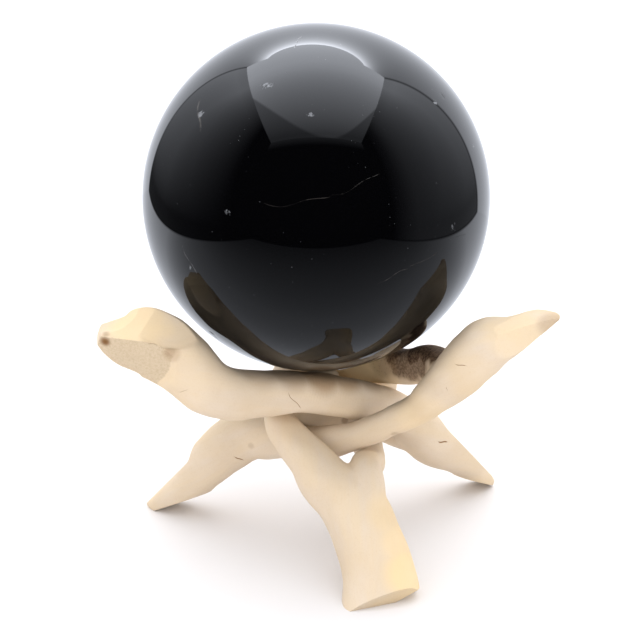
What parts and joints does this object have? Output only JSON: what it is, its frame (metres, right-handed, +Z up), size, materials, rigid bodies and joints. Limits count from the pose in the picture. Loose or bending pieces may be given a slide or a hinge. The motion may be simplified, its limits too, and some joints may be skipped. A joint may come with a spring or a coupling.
{
  "type": "decorative sphere",
  "caption": "Polished black stone ball resting on a folding stand of pale hand-carved wooden limbs that pass through one another.",
  "frame": {"origin": "centre of the bounding box in plan, on the ground the feet stand on", "axes": "+Z up through the ball; -Y towards the front limb's foot; +X to the right of someone facing that foot"},
  "size_m": [0.1288, 0.127, 0.1537],
  "materials": {
    "stone": "polished black stone",
    "wood": "bare, hand carved and scraped"
  },
  "bodies": {
    "root": {"ball": "stone", "limb_front": "wood", "limb_right": "wood", "limb_left": "wood"}
  },
  "joints": []
}
